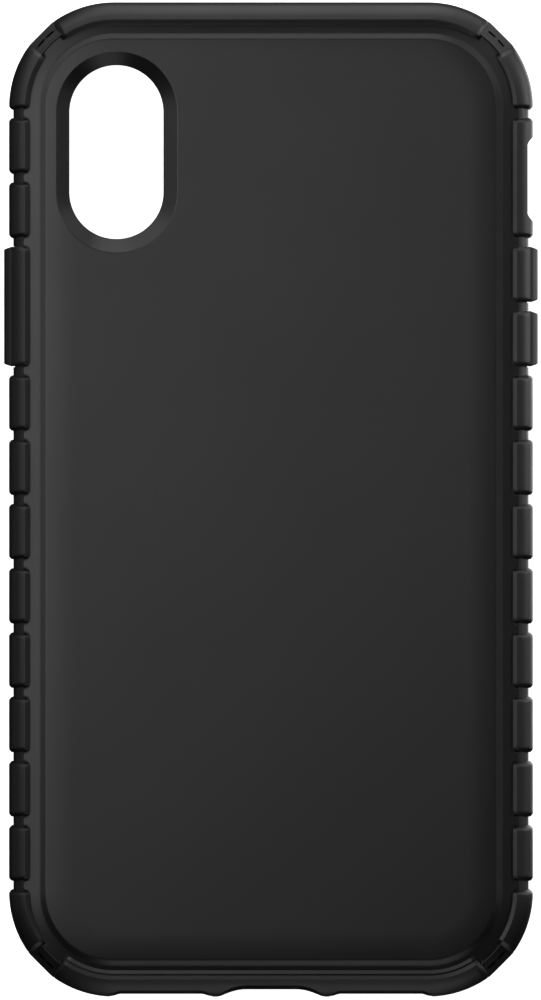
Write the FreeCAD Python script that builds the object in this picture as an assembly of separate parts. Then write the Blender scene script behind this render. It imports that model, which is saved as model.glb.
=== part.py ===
"""Rugged two-material case for a 6.1 inch smartphone, built as separate moulded pieces.

Frame: millimetres, X across the case, Y along it, +Z out of the back. The case lies on its front
rim at z = 0 with its back up, and the origin is the centre of that rim.

Most pieces follow the same rounded-rectangle outline. A section is written as (depth, height):
depth is the distance inwards from the outermost face of the grip blocks, height is z.
"""

import FreeCAD, Part

import math
import os

from FreeCAD import Placement, Rotation, Vector

# ---- driving dimensions ----------------------------------------------------------------------
PHONE_WIDTH = 75.7
PHONE_LENGTH = 150.9
PHONE_THICKNESS = 8.3
WALL = 4.05                       # phone's side to the outermost face of the grip blocks
CORNER_RADIUS = 16.8              # outline's corner at depth 0
LIP_HEIGHT = 1.3                  # front rim above the screen
CASE_HEIGHT = 12.0                # rim to the top of the back panel

HALF_WIDTH = PHONE_WIDTH / 2 + WALL
HALF_LENGTH = PHONE_LENGTH / 2 + WALL
PHONE_BACK_Z = LIP_HEIGHT + PHONE_THICKNESS
PHONE_MID_Z = LIP_HEIGHT + PHONE_THICKNESS / 2
CORNER_X = HALF_WIDTH - CORNER_RADIUS
CORNER_Y = HALF_LENGTH - CORNER_RADIUS

# ---- side wall, from outside to inside --------------------------------------------------------
RECESS = 0.7                      # the band lies this far inside the blocks' outer face
SHELL_DEPTH = 2.35                # outer face of the rigid shell's skirt
SKIRT = 1.0                       # thickness of that skirt
LINER_DEPTH = SHELL_DEPTH + SKIRT
LINER_WALL = 0.65
POCKET_DEPTH = LINER_DEPTH + LINER_WALL
LINER_FLOOR = 0.6
LINER_TOP_Z = PHONE_BACK_Z + LINER_FLOOR
SKIRT_FRONT_Z = 2.1

FLAT_LOW_Z = 4.0                  # the outer face is upright between these heights
FLAT_HIGH_Z = 7.8
FRONT_ARC = 5.45                  # radius of the outer face below FLAT_LOW_Z
CREST_DEPTH = 2.4                 # ridge of a block, seen from the back
CREST_TILT = math.radians(25)     # slope of the block's outer face where it meets the ridge
BACK_ARC = CREST_DEPTH / (1 - math.sin(CREST_TILT))
CREST_Z = FLAT_HIGH_Z + BACK_ARC * math.cos(CREST_TILT)

BLOCK_DEPTH = 3.2                 # inner edge of a block on the shoulder
BEVEL_DEPTH = 3.1                 # foot of the block's inner bevel
BEVEL_Z = 11.35
BLOCK_FRONT_Z = 1.2               # front end of a block
END_WIDEN = 0.25                  # the top and bottom bumpers reach this much further in

# ---- back ------------------------------------------------------------------------------------
SHOULDER_DEPTH = 5.0              # inner edge of the shoulder, at the foot of the raised panel
SHOULDER_Z = 11.22
PANEL_WALL_DEPTH = 5.8            # top of the panel's sloping wall
PANEL_WALL_Z = 11.66
PANEL_EDGE_DEPTH = 6.1            # end of the rounding on the panel's edge
PANEL_EDGE_Z = 11.76
EDGE_BULGE = (-0.005, 0.015)      # middle of that rounding, off its chord
CROWN_DEPTH = 10.5                # inside this the panel is flat
CUSHION_DEPTH = 7.0               # the liner's raised pad fits a recess in the panel
CUSHION = 0.5

CAMERA_X, CAMERA_Y = -24.7, 55.5
CAMERA_WIDTH, CAMERA_LENGTH = 15.0, 27.7
CAMERA_BEVEL = 2.2
CAMERA_BEVEL_DROP = 1.5
CAMERA_BOSS = 1.2                 # full-thickness wall around the camera opening's bevel
CAMERA_LINER_GAP = 0.3

# ---- front lip -------------------------------------------------------------------------------
LIP_DEPTH = 5.65                  # inner edge of the lip, over the screen's border
LIP_ROUND = 0.35

# ---- grip blocks along the sides -------------------------------------------------------------
PITCH = 10.28
GAP = 1.44
STEPS = 12                        # gaps are at every pitch, from +6 to -6
END_CHAMFER = 0.4
CORNER_CHAMFER = 0.6              # at the corner gaps
CORNER_GAP = math.radians(9)      # half the angle between a corner block and the end bumper
FACET_CUT = 0.2                   # flat on each corner, cut this far inside the outline
WEB_TOP_Z = 9.2
WEB_SINK = 0.3                    # how far a web reaches into the band
SLOT_WIDTH, SLOT_NEAR, SLOT_FAR, SLOT_FLOOR_Z = 0.34, 0.35, 2.0, 8.0

# ---- openings in the walls -------------------------------------------------------------------
MUTE_Y = 51.2
MUTE_SCOOP, MUTE_SCOOP_HALF = 0.92, 5.6
MUTE_HOLE = (10.0, 5.2)
PORT_SCOOP, PORT_SCOOP_HALF, PORT_FLARE_HALF = 1.25, 4.4, 7.9
PORT_HOLE = (11.8, 6.4)
SPEAKER_X = 17.6
SPEAKER_SCOOP, SPEAKER_SCOOP_HALF, SPEAKER_RAMP = 0.49, 6.4, 1.8
SPEAKER_HOLE = (12.6, 4.8)
HOLE_ROUNDING = 0.4               # corner radius of a hole, as a share of its height

# ---- buttons ---------------------------------------------------------------------------------
BUTTON_PROUD = 0.8                # beyond the blocks' outer face
BUTTON_BACK = 0.42                # depth of the cap's back at rest
BUTTON_TRAVEL = 0.5
BUTTON_SPARE = 0.06               # left between a pressed cap and the floor of its hollow
BUTTON_CLEAR = 0.12               # round the cap and the nub
BUTTON_ARC = 2.4                  # rounding of the cap towards the back and the front
BUTTON_ARC_LOW_Z, BUTTON_ARC_HIGH_Z = 4.2, 7.4
BUTTON_END_SLANT = 0.4            # each end of a cap leans in this much
RIDGE_CUT_DEPTH = 0.47            # edge of the fixed ridge, just behind a cap
NUB_SHARE = 0.42                  # of the cap's length
NUB_HALF_HEIGHT = 0.9
NUB_TIP_DEPTH = 3.5

FAR = 60.0                        # larger than any feature that a tool has to clear
OVERCUT = 0.5                     # how far a tool runs past the wall it cuts
OVERLAP = 0.02                    # shared by two pieces of one solid

X_AXIS, Y_AXIS, Z_AXIS = Vector(1, 0, 0), Vector(0, 1, 0), Vector(0, 0, 1)


# ---- sections and outlines -------------------------------------------------------------------
def outer_depth(z, recess=0.0):
    """Depth of the curved outer face at height z, moved inwards by recess."""
    if z > FLAT_HIGH_Z:
        radius = BACK_ARC - recess
        return BACK_ARC - math.sqrt(radius ** 2 - (z - FLAT_HIGH_Z) ** 2)
    if z < FLAT_LOW_Z:
        radius = FRONT_ARC - recess
        return FRONT_ARC - math.sqrt(radius ** 2 - (FLAT_LOW_Z - z) ** 2)
    return recess


BAND_TOP_Z = FLAT_HIGH_Z + math.sqrt((BACK_ARC - RECESS) ** 2 - (BACK_ARC - SHELL_DEPTH) ** 2)


def shoulder_height(depth):
    """Height of the rigid shoulder, which rises gently towards the panel."""
    share = (depth - SHELL_DEPTH) / (SHOULDER_DEPTH - SHELL_DEPTH)
    return BAND_TOP_Z + share * (SHOULDER_Z - BAND_TOP_Z)


def on_face(z, recess=0.0):
    return (outer_depth(z, recess), z)


def section(start, *steps):
    """Closed face in the plane y = 0 on the +X side. A step is a point, or (middle, end) of an arc."""
    def place(point):
        return Vector(HALF_WIDTH - point[0], 0, point[1])

    here = place(start)
    edges = []
    for step in steps:
        if isinstance(step[0], tuple):
            middle, end = place(step[0]), place(step[1])
            edges.append(Part.Arc(here, middle, end).toShape())
        else:
            end = place(step)
            edges.append(Part.LineSegment(here, end).toShape())
        here = end
    edges.append(Part.LineSegment(here, place(start)).toShape())
    return Part.Face(Part.Wire(edges))


def station(face, y=CORNER_Y, turn=0.0):
    """The section moved to y on the right side, or swung round the top right corner by turn."""
    moved = face.translated(Vector(0, y, 0))
    return moved.rotate(Vector(CORNER_X, CORNER_Y, 0), Z_AXIS, math.degrees(turn))


def taper(face, small_face, place, small_place):
    """Chamfered end: a solid from the full section to the smaller one."""
    wires = [station(face, **place).OuterWire, station(small_face, **small_place).OuterWire]
    return Part.makeLoft(wires, True, True)


def along_side(face, y_low, y_high):
    """The section drawn along the straight right side."""
    return station(face, y_low).extrude(Vector(0, y_high - y_low, 0))


def round_corner(face, start, end):
    """The section swung round the top right corner; angles in radians from the +X side."""
    centre = Vector(CORNER_X, CORNER_Y, 0)
    return station(face, turn=start).revolve(centre, Z_AXIS, math.degrees(end - start))


def along_end(face):
    """The section drawn along the straight top end."""
    return station(face, turn=math.pi / 2).extrude(Vector(-2 * CORNER_X, 0, 0))


def mirrored(shape, normal):
    return shape.mirror(Vector(0, 0, 0), normal)


def ring(face):
    """The section drawn round the whole outline."""
    side = along_side(face, -CORNER_Y, CORNER_Y)
    corner = round_corner(face, 0, math.pi / 2)
    end = along_end(face)
    corners = [corner, mirrored(corner, X_AXIS), mirrored(corner, Y_AXIS)]
    corners.append(mirrored(mirrored(corner, X_AXIS), Y_AXIS))
    rest = corners + [mirrored(side, X_AXIS), end, mirrored(end, Y_AXIS)]
    return side.multiFuse(rest).removeSplitter()


def rounded_plate(depth, z_low, z_high):
    """Plate with the outline at a depth, between two heights."""
    inner = CORNER_RADIUS - OVERLAP / 2
    face = section((depth, z_low), (inner, z_low), (inner, z_high), (depth, z_high))
    core_x, core_y = CORNER_X + OVERLAP, CORNER_Y + OVERLAP
    core = Part.makeBox(2 * core_x, 2 * core_y, z_high - z_low, Vector(-core_x, -core_y, z_low))
    return ring(face).fuse(core).removeSplitter()


def pill(width, length, z_low, z_high):
    """Upright stadium prism on the camera's centre, its long side along Y."""
    radius = width / 2
    straight = length / 2 - radius
    body = Part.makeBox(width, 2 * straight, z_high - z_low,
                        Vector(CAMERA_X - radius, CAMERA_Y - straight, z_low))
    for side in (-1, 1):
        end = Part.makeCylinder(radius, z_high - z_low,
                                Vector(CAMERA_X, CAMERA_Y + side * straight, z_low))
        body = body.fuse(end)
    return body.removeSplitter()


def pill_outline(width, length, z):
    radius = width / 2
    straight = length / 2 - radius
    left, right = CAMERA_X - radius, CAMERA_X + radius
    low, high = CAMERA_Y - straight, CAMERA_Y + straight
    return Part.Wire([
        Part.LineSegment(Vector(right, low, z), Vector(right, high, z)).toShape(),
        Part.Arc(Vector(right, high, z), Vector(CAMERA_X, high + radius, z),
                 Vector(left, high, z)).toShape(),
        Part.LineSegment(Vector(left, high, z), Vector(left, low, z)).toShape(),
        Part.Arc(Vector(left, low, z), Vector(CAMERA_X, low - radius, z),
                 Vector(right, low, z)).toShape(),
    ])


def camera_cutter():
    """Straight opening, widened by a bevel that opens towards the back."""
    rise = 1.0                    # the cutter carries on past the panel at the bevel's own slope
    spread = 2 * CAMERA_BEVEL * (1 + rise / CAMERA_BEVEL_DROP)
    low = pill_outline(CAMERA_WIDTH, CAMERA_LENGTH, CASE_HEIGHT - CAMERA_BEVEL_DROP)
    high = pill_outline(CAMERA_WIDTH + spread, CAMERA_LENGTH + spread, CASE_HEIGHT + rise)
    bevel = Part.makeLoft([low, high], True, True)
    return pill(CAMERA_WIDTH, CAMERA_LENGTH, PHONE_BACK_Z - OVERCUT, CASE_HEIGHT).fuse(bevel)


def rounded_hole(span, height, radius, depth_from, depth_to, centre, end):
    """Cutter for a hole through the "right" or "bottom" wall: span along the wall, height along z."""
    length = depth_to - depth_from
    box = Part.makeBox(length, span, height, Vector(0, -span / 2, -height / 2))
    across = [e for e in box.Edges if abs(e.tangentAt(e.FirstParameter).x) > 0.99]
    box = box.makeFillet(radius, across)
    if end == "bottom":
        spot = Placement(Vector(centre, -HALF_LENGTH + depth_from, PHONE_MID_Z),
                         Rotation(Z_AXIS, 90))
    else:
        spot = Placement(Vector(HALF_WIDTH - depth_from, centre, PHONE_MID_Z), Rotation(Z_AXIS, 180))
    box.Placement = spot
    return box


# ---- scoops in the outer face ----------------------------------------------------------------
def upright_prism(points):
    """Prism through the whole height from a plan outline of (x, y) points."""
    corners = [Vector(x, y, -1) for x, y in points]
    face = Part.Face(Part.makePolygon(corners + corners[:1]))
    return face.extrude(Vector(0, 0, CASE_HEIGHT + 2))


def mute_scoop():
    half, deep = MUTE_SCOOP_HALF, MUTE_SCOOP
    outside = HALF_WIDTH + 1
    floor = HALF_WIDTH - deep
    flare = half + deep + 1
    return upright_prism([(outside, MUTE_Y - flare), (outside, MUTE_Y + flare),
                          (floor, MUTE_Y + half), (floor, MUTE_Y - half)])


def port_scoop():
    """Wide shallow dish for the plug, with flanks that curve into its floor."""
    lowest = -HALF_LENGTH
    knee = (PORT_SCOOP_HALF + PORT_FLARE_HALF) / 2
    knee_rise = PORT_SCOOP * 0.8
    run = PORT_FLARE_HALF + (PORT_FLARE_HALF - knee) / knee_rise
    points = [Vector(-run, lowest - 1, -1), Vector(-knee, lowest + knee_rise, -1),
              Vector(-PORT_SCOOP_HALF, lowest + PORT_SCOOP, -1),
              Vector(PORT_SCOOP_HALF, lowest + PORT_SCOOP, -1),
              Vector(knee, lowest + knee_rise, -1), Vector(run, lowest - 1, -1)]
    face = Part.Face(Part.makePolygon(points + points[:1]))
    return face.extrude(Vector(0, 0, CASE_HEIGHT + 2))


def speaker_scoop(centre):
    half, deep = SPEAKER_SCOOP_HALF, SPEAKER_SCOOP
    ramp = half + SPEAKER_RAMP * (deep + 1) / deep
    floor = -HALF_LENGTH + deep
    return upright_prism([(centre - ramp, floor - deep - 1), (centre + ramp, floor - deep - 1),
                          (centre + half, floor), (centre - half, floor)])


def wall_holes(depth_from, depth_to):
    """Cutters for the ring/silent switch, charging port and speaker openings."""
    sizes = [(MUTE_HOLE, MUTE_Y, "right"), (PORT_HOLE, 0, "bottom"),
             (SPEAKER_HOLE, -SPEAKER_X, "bottom"), (SPEAKER_HOLE, SPEAKER_X, "bottom")]
    return [rounded_hole(span, height, height * HOLE_ROUNDING, depth_from, depth_to, centre, end)
            for (span, height), centre, end in sizes]


# ---- buttons: name, side, gap number above it, how many pitches long ---------------------------
BUTTONS = {
    "power_button": {"end": "left", "top_gap": 4, "pitches": 2},
    "volume_up_button": {"end": "right", "top_gap": 4, "pitches": 1},
    "volume_down_button": {"end": "right", "top_gap": 3, "pitches": 1},
}


def button_centre(button):
    return (button["top_gap"] - button["pitches"] / 2) * PITCH


def button_length(button):
    return button["pitches"] * PITCH - GAP


def on_own_side(shape, button):
    """The shape as drawn on the right, or mirrored to the left."""
    return shape if button["end"] == "right" else mirrored(shape, X_AXIS)


def button_box(button, depth_from, depth_to, span, z_low, z_high):
    """Box in the right-hand wall at a button's height along Y."""
    corner = Vector(HALF_WIDTH - depth_to, button_centre(button) - span / 2, z_low)
    return Part.makeBox(depth_to - depth_from, span, z_high - z_low, corner)


def cap_section():
    """Cap from front to back: rounded, upright in the middle, flat where it faces the band."""
    reach = BUTTON_ARC - BUTTON_PROUD                 # depth of the centre of both arcs
    half_way = BUTTON_ARC * math.sqrt(0.5)
    rise = math.sqrt(BUTTON_ARC ** 2 - (reach - BUTTON_BACK) ** 2)
    low_mid = (reach - half_way, BUTTON_ARC_LOW_Z - half_way)
    high_mid = (reach - half_way, BUTTON_ARC_HIGH_Z + half_way)
    return section((BUTTON_BACK, BUTTON_ARC_LOW_Z - rise), (low_mid, (-BUTTON_PROUD, BUTTON_ARC_LOW_Z)),
                   (-BUTTON_PROUD, BUTTON_ARC_HIGH_Z), (high_mid, (BUTTON_BACK, BUTTON_ARC_HIGH_Z + rise)))


def button_cap(button):
    """Pressed piece: cap outside the band, with a nub through the wall to the phone's button."""
    length, centre = button_length(button), button_centre(button)
    outer, inner = HALF_WIDTH + BUTTON_PROUD, HALF_WIDTH - BUTTON_BACK
    cap = along_side(cap_section(), centre - length / 2, centre + length / 2)
    slanted = length / 2 - BUTTON_END_SLANT
    plan = upright_prism([(inner, centre - length / 2), (outer, centre - slanted),
                          (outer, centre + slanted), (inner, centre + length / 2)])
    nub = button_box(button, BUTTON_BACK - OVERLAP, NUB_TIP_DEPTH, length * NUB_SHARE,
                     PHONE_MID_Z - NUB_HALF_HEIGHT, PHONE_MID_Z + NUB_HALF_HEIGHT)
    return on_own_side(cap.common(plan).fuse(nub).removeSplitter(), button)


def button_hollow(button):
    """Room for the cap's travel, cut in the band and under the ridge."""
    rise = math.sqrt(BUTTON_ARC ** 2 - (BUTTON_ARC - BUTTON_PROUD - BUTTON_BACK) ** 2)
    floor = BUTTON_BACK + BUTTON_TRAVEL + BUTTON_SPARE
    return button_box(button, -OVERCUT, floor, button_length(button) + 2 * BUTTON_CLEAR,
                      BUTTON_ARC_LOW_Z - rise - BUTTON_CLEAR, BUTTON_ARC_HIGH_Z + rise + BUTTON_CLEAR)


def nub_slot(button, depth_from, depth_to):
    half_height = NUB_HALF_HEIGHT + 2 * BUTTON_CLEAR
    span = button_length(button) * NUB_SHARE + 4 * BUTTON_CLEAR
    slot = button_box(button, depth_from, depth_to, span, PHONE_MID_Z - half_height,
                      PHONE_MID_Z + half_height)
    return on_own_side(slot, button)


# ---- sections --------------------------------------------------------------------------------
def block_section(inset=0.0, widen=0.0):
    """Grip block: outer face, ridge, inner bevel, and the band and shoulder that it sits on.

    inset draws the outer face and the ridge smaller, for the chamfer at a block's end.
    widen moves the ridge and the bevel further in.
    """
    arc = BACK_ARC - inset
    tilt = math.asin((BACK_ARC - CREST_DEPTH - widen) / BACK_ARC)
    half_way = (math.pi / 2 - tilt) / 2
    crest_mid = (BACK_ARC - arc * math.cos(half_way), FLAT_HIGH_Z + arc * math.sin(half_way))
    crest = (BACK_ARC - arc * math.sin(tilt), FLAT_HIGH_Z + arc * math.cos(tilt))
    foot = BLOCK_DEPTH + widen
    front_mid_z = (BLOCK_FRONT_Z + FLAT_LOW_Z) / 2
    band_mid_z = (BAND_TOP_Z + FLAT_HIGH_Z) / 2
    return section(on_face(BLOCK_FRONT_Z, inset), (on_face(front_mid_z, inset), (inset, FLAT_LOW_Z)),
                   (inset, FLAT_HIGH_Z), (crest_mid, crest), (BEVEL_DEPTH + widen, BEVEL_Z),
                   (foot, shoulder_height(foot)), (SHELL_DEPTH, BAND_TOP_Z),
                   (on_face(band_mid_z, RECESS), (RECESS, FLAT_HIGH_Z)), (RECESS, FLAT_LOW_Z),
                   (on_face(front_mid_z, RECESS), on_face(BLOCK_FRONT_Z, RECESS)))


def web_section():
    """Low rib of the band, as far out as a block but lower."""
    middle = (WEB_TOP_Z + FLAT_HIGH_Z) / 2
    front_mid_z = (BLOCK_FRONT_Z + FLAT_LOW_Z) / 2
    inner = RECESS + WEB_SINK
    return section(on_face(BLOCK_FRONT_Z), (on_face(front_mid_z), (0, FLAT_LOW_Z)), (0, FLAT_HIGH_Z),
                   (on_face(middle), on_face(WEB_TOP_Z)), on_face(WEB_TOP_Z, inner),
                   (on_face(middle, inner), (inner, FLAT_HIGH_Z)), (inner, FLAT_LOW_Z),
                   (on_face(front_mid_z, inner), on_face(BLOCK_FRONT_Z, inner)))


def band_section():
    """Soft band between the blocks and the shell, hooked under the shell's front edge."""
    low_mid = on_face((LIP_HEIGHT + FLAT_LOW_Z) / 2, RECESS)
    high_mid = on_face((BAND_TOP_Z + FLAT_HIGH_Z) / 2, RECESS)
    return section(on_face(LIP_HEIGHT, RECESS), (low_mid, (RECESS, FLAT_LOW_Z)),
                   (RECESS, FLAT_HIGH_Z), (high_mid, (SHELL_DEPTH, BAND_TOP_Z)),
                   (SHELL_DEPTH, SKIRT_FRONT_Z), (LINER_DEPTH, SKIRT_FRONT_Z),
                   (LINER_DEPTH, LIP_HEIGHT))


def lip_section():
    bottom = on_face(0, RECESS)
    edge = LIP_DEPTH - LIP_ROUND
    turn = LIP_ROUND * (1 - math.sqrt(0.5))
    return section(on_face(LIP_HEIGHT, RECESS), (on_face(LIP_HEIGHT / 2, RECESS), bottom), (edge, 0),
                   ((LIP_DEPTH - turn, turn), (LIP_DEPTH, LIP_ROUND)), (LIP_DEPTH, LIP_HEIGHT))


def shell_section():
    """Rigid shell: skirt, shoulder, the panel's wall and rounded edge, and its crowned border."""
    edge_mid = ((PANEL_WALL_DEPTH + PANEL_EDGE_DEPTH) / 2 + EDGE_BULGE[0],
                (PANEL_WALL_Z + PANEL_EDGE_Z) / 2 + EDGE_BULGE[1])
    drop = CASE_HEIGHT - PANEL_EDGE_Z
    crown_mid = ((PANEL_EDGE_DEPTH + CROWN_DEPTH) / 2, CASE_HEIGHT - drop / 4)
    return section((SHELL_DEPTH, SKIRT_FRONT_Z), (SHELL_DEPTH, BAND_TOP_Z),
                   (SHOULDER_DEPTH, SHOULDER_Z), (PANEL_WALL_DEPTH, PANEL_WALL_Z),
                   (edge_mid, (PANEL_EDGE_DEPTH, PANEL_EDGE_Z)),
                   (crown_mid, (CROWN_DEPTH, CASE_HEIGHT)), (CROWN_DEPTH + 2 * OVERLAP, CASE_HEIGHT),
                   (CROWN_DEPTH + 2 * OVERLAP, LINER_TOP_Z),
                   (LINER_DEPTH, LINER_TOP_Z), (LINER_DEPTH, SKIRT_FRONT_Z))


# ---- pieces ----------------------------------------------------------------------------------
def camera_boss():
    """Where the shell keeps its full thickness round the camera opening, clear of the cushion."""
    extra = 2 * (CAMERA_BEVEL + CAMERA_BOSS)
    return pill(CAMERA_WIDTH + extra, CAMERA_LENGTH + extra, LINER_TOP_Z - 2 * OVERCUT, CASE_HEIGHT)


def rear_shell():
    plate = rounded_plate(CROWN_DEPTH + OVERLAP, LINER_TOP_Z, CASE_HEIGHT)
    recess = rounded_plate(CUSHION_DEPTH, LINER_TOP_Z - OVERCUT, LINER_TOP_Z + CUSHION)
    cutters = [recess.cut(camera_boss()), camera_cutter()]
    cutters += wall_holes(SHELL_DEPTH - OVERCUT, LINER_DEPTH + OVERCUT)
    cutters += [nub_slot(b, SHELL_DEPTH - OVERCUT, LINER_DEPTH + OVERCUT) for b in BUTTONS.values()]
    return ring(shell_section()).fuse(plate).removeSplitter().cut(cutters)


def inner_liner():
    tray = rounded_plate(LINER_DEPTH, LIP_HEIGHT, LINER_TOP_Z)
    cushion = rounded_plate(CUSHION_DEPTH, LINER_TOP_Z, LINER_TOP_Z + CUSHION)
    pocket = rounded_plate(POCKET_DEPTH, LIP_HEIGHT - OVERCUT, PHONE_BACK_Z)
    window = pill(CAMERA_WIDTH + 2 * CAMERA_LINER_GAP, CAMERA_LENGTH + 2 * CAMERA_LINER_GAP,
                  PHONE_BACK_Z - OVERCUT, CASE_HEIGHT)
    cutters = [pocket, window]
    cutters += wall_holes(LINER_DEPTH - OVERCUT, POCKET_DEPTH + OVERCUT)
    cutters += [nub_slot(b, LINER_DEPTH - OVERCUT, POCKET_DEPTH + OVERCUT) for b in BUTTONS.values()]
    return tray.fuse(cushion.cut(camera_boss())).removeSplitter().cut(cutters)


def in_each_corner(shapes):
    """Copies of the top right corner's shapes in all four corners."""
    copies = []
    for shape in shapes:
        flipped = mirrored(shape, X_AXIS)
        copies += [shape, flipped, mirrored(shape, Y_AXIS), mirrored(flipped, Y_AXIS)]
    return copies


def bumper_band():
    cutters = wall_holes(-OVERCUT, LINER_DEPTH + OVERCUT)
    cutters += [mute_scoop(), port_scoop()]
    cutters += in_each_corner(corner_slots())
    for button in BUTTONS.values():
        cutters += [on_own_side(button_hollow(button), button), nub_slot(button, 0, LINER_DEPTH)]
    webs = in_each_corner([corner_web()])
    return ring(band_section()).multiFuse(webs).removeSplitter().cut(cutters)


def side_block(low_gap, high_gap):
    """Block on the right side between two numbered gaps."""
    low, high = low_gap * PITCH + GAP / 2, high_gap * PITCH - GAP / 2
    full, small = block_section(), block_section(END_CHAMFER)
    body = along_side(full, low + END_CHAMFER, high - END_CHAMFER)
    ends = [taper(full, small, {"y": low + END_CHAMFER}, {"y": low}),
            taper(full, small, {"y": high - END_CHAMFER}, {"y": high})]
    return body.multiFuse(ends).removeSplitter()


def corner_block():
    """Block that turns the top right corner from the last side gap to the corner gap."""
    full = block_section()
    low = STEPS / 2 * PITCH + GAP / 2
    first_turn = (END_CHAMFER - (CORNER_Y - low)) / CORNER_RADIUS
    end = math.pi / 4 - CORNER_GAP
    last_turn = end - CORNER_CHAMFER / CORNER_RADIUS
    ends = [taper(full, block_section(END_CHAMFER), {"turn": first_turn}, {"y": low}),
            taper(full, block_section(CORNER_CHAMFER), {"turn": last_turn}, {"turn": end})]
    return round_corner(full, first_turn, last_turn).multiFuse(ends).removeSplitter()


def end_bumper():
    """Bumper along the top end, from corner gap to corner gap."""
    full, small = block_section(0, END_WIDEN), block_section(CORNER_CHAMFER, END_WIDEN)
    start = math.pi / 4 + CORNER_GAP
    first_turn = start + CORNER_CHAMFER / CORNER_RADIUS
    corner = round_corner(full, first_turn, math.pi / 2)
    corner = corner.fuse(taper(full, small, {"turn": first_turn}, {"turn": start}))
    return along_end(full).multiFuse([corner, mirrored(corner, X_AXIS)]).removeSplitter()


def corner_web():
    """Low flat-faced rib across the top right corner gap, with two small relief slots."""
    web = round_corner(web_section(), math.pi / 4 - CORNER_GAP, math.pi / 4 + CORNER_GAP)
    middle = Placement(Vector(CORNER_X, CORNER_Y, 0), Rotation(Z_AXIS, 45))
    facet = Part.makeBox(FAR, FAR, FAR, Vector(CORNER_RADIUS - FACET_CUT, -FAR / 2, -FAR / 2))
    facet.Placement = middle
    return web.cut(facet)


def corner_slots():
    """Cutters for the two relief slots between the top right corner web and the band."""
    middle = Placement(Vector(CORNER_X, CORNER_Y, 0), Rotation(Z_AXIS, 45))
    inner = CORNER_RADIUS - outer_depth(WEB_TOP_Z, RECESS) - SLOT_WIDTH / 2
    slots = []
    for low in (SLOT_NEAR, -SLOT_FAR):
        slot = Part.makeBox(SLOT_WIDTH, SLOT_FAR - SLOT_NEAR, FAR, Vector(inner, low, SLOT_FLOOR_Z))
        slot.Placement = middle
        slots.append(slot)
    return slots


def button_ridge(button):
    """Fixed ridge between a button cap and the shoulder: the inner part of a grip block."""
    high_gap = button["top_gap"]
    block = side_block(high_gap - button["pitches"], high_gap)
    length = button_length(button) + 2 * OVERCUT
    hollow_top = button_hollow(button).BoundBox.ZMax
    outside = button_box(button, -OVERCUT, RIDGE_CUT_DEPTH, length, 0, CASE_HEIGHT)
    below = button_box(button, -OVERCUT, SHOULDER_DEPTH, length, 0, hollow_top)
    return on_own_side(block.cut([outside, below]), button)


def soft_pieces():
    """Named pieces of the segmented soft bumper."""
    pieces = {}
    plain_gaps = {"right": range(-6, 2), "left": list(range(-6, 2)) + [4, 5]}
    for end, lows in plain_gaps.items():
        for number, low in enumerate(sorted(lows, reverse=True), start=1):
            block = side_block(low, low + 1)
            shape = block if end == "right" else mirrored(block, X_AXIS)
            pieces[f"{end}_grip_block_{number:02d}"] = shape
    mute = side_block(4, 6).cut([mute_scoop(), wall_holes(-OVERCUT, LINER_DEPTH)[0]])
    pieces["mute_switch_surround"] = mute
    for name, button in BUTTONS.items():
        pieces[name + "_ridge"] = button_ridge(button)

    places = ["top_right", "top_left", "bottom_right", "bottom_left"]
    for place, shape in zip(places, in_each_corner([corner_block()])):
        pieces[f"{place}_corner_block"] = shape

    bumper = end_bumper()
    pieces["top_bumper"] = bumper
    openings = [port_scoop(), speaker_scoop(-SPEAKER_X), speaker_scoop(SPEAKER_X)]
    openings += wall_holes(-OVERCUT, LINER_DEPTH)[1:]
    pieces["bottom_bumper"] = mirrored(bumper, Y_AXIS).cut(openings)
    return pieces


def main():
    os.makedirs("parts", exist_ok=True)
    pieces = {
        "rear_shell": rear_shell(),
        "inner_liner": inner_liner(),
        "bumper_band": bumper_band(),
        "front_lip": ring(lip_section()),
    }
    pieces.update(soft_pieces())
    for name, button in BUTTONS.items():
        pieces[name] = button_cap(button)
    for name, shape in pieces.items():
        solids = Part.makeCompound(shape.Solids)
        if not solids.isValid() or not shape.Solids:
            raise RuntimeError(f"{name} is not a valid solid")
        solids.exportStep(f"parts/{name}.step")
        print(f"{name}: {len(shape.Solids)} solid(s), {shape.Volume / 1000:.3f} cm3")


main()
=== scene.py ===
import math

import bmesh
import bpy
from mathutils import Matrix, Vector


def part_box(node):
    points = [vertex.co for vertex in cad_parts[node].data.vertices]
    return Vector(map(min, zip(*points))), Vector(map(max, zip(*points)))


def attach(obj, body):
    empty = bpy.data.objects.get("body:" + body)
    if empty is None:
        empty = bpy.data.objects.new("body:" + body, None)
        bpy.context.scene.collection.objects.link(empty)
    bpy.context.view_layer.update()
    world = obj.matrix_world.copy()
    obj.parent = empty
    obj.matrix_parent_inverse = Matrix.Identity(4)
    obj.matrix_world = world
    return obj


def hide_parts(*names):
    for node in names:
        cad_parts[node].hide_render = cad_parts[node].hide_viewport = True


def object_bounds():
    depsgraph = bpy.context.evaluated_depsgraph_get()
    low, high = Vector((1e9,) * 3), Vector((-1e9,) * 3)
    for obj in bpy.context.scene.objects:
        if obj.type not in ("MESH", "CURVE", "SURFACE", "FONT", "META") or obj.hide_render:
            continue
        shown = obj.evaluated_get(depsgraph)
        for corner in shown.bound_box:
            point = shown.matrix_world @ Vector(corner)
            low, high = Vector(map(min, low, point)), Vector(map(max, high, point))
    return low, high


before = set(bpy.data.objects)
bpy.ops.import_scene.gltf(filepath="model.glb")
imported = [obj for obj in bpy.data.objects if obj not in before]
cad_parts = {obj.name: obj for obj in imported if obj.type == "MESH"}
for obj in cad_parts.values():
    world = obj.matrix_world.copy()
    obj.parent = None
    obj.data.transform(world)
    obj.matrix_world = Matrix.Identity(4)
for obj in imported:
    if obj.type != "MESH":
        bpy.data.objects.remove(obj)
cad_low, cad_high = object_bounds()

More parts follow.
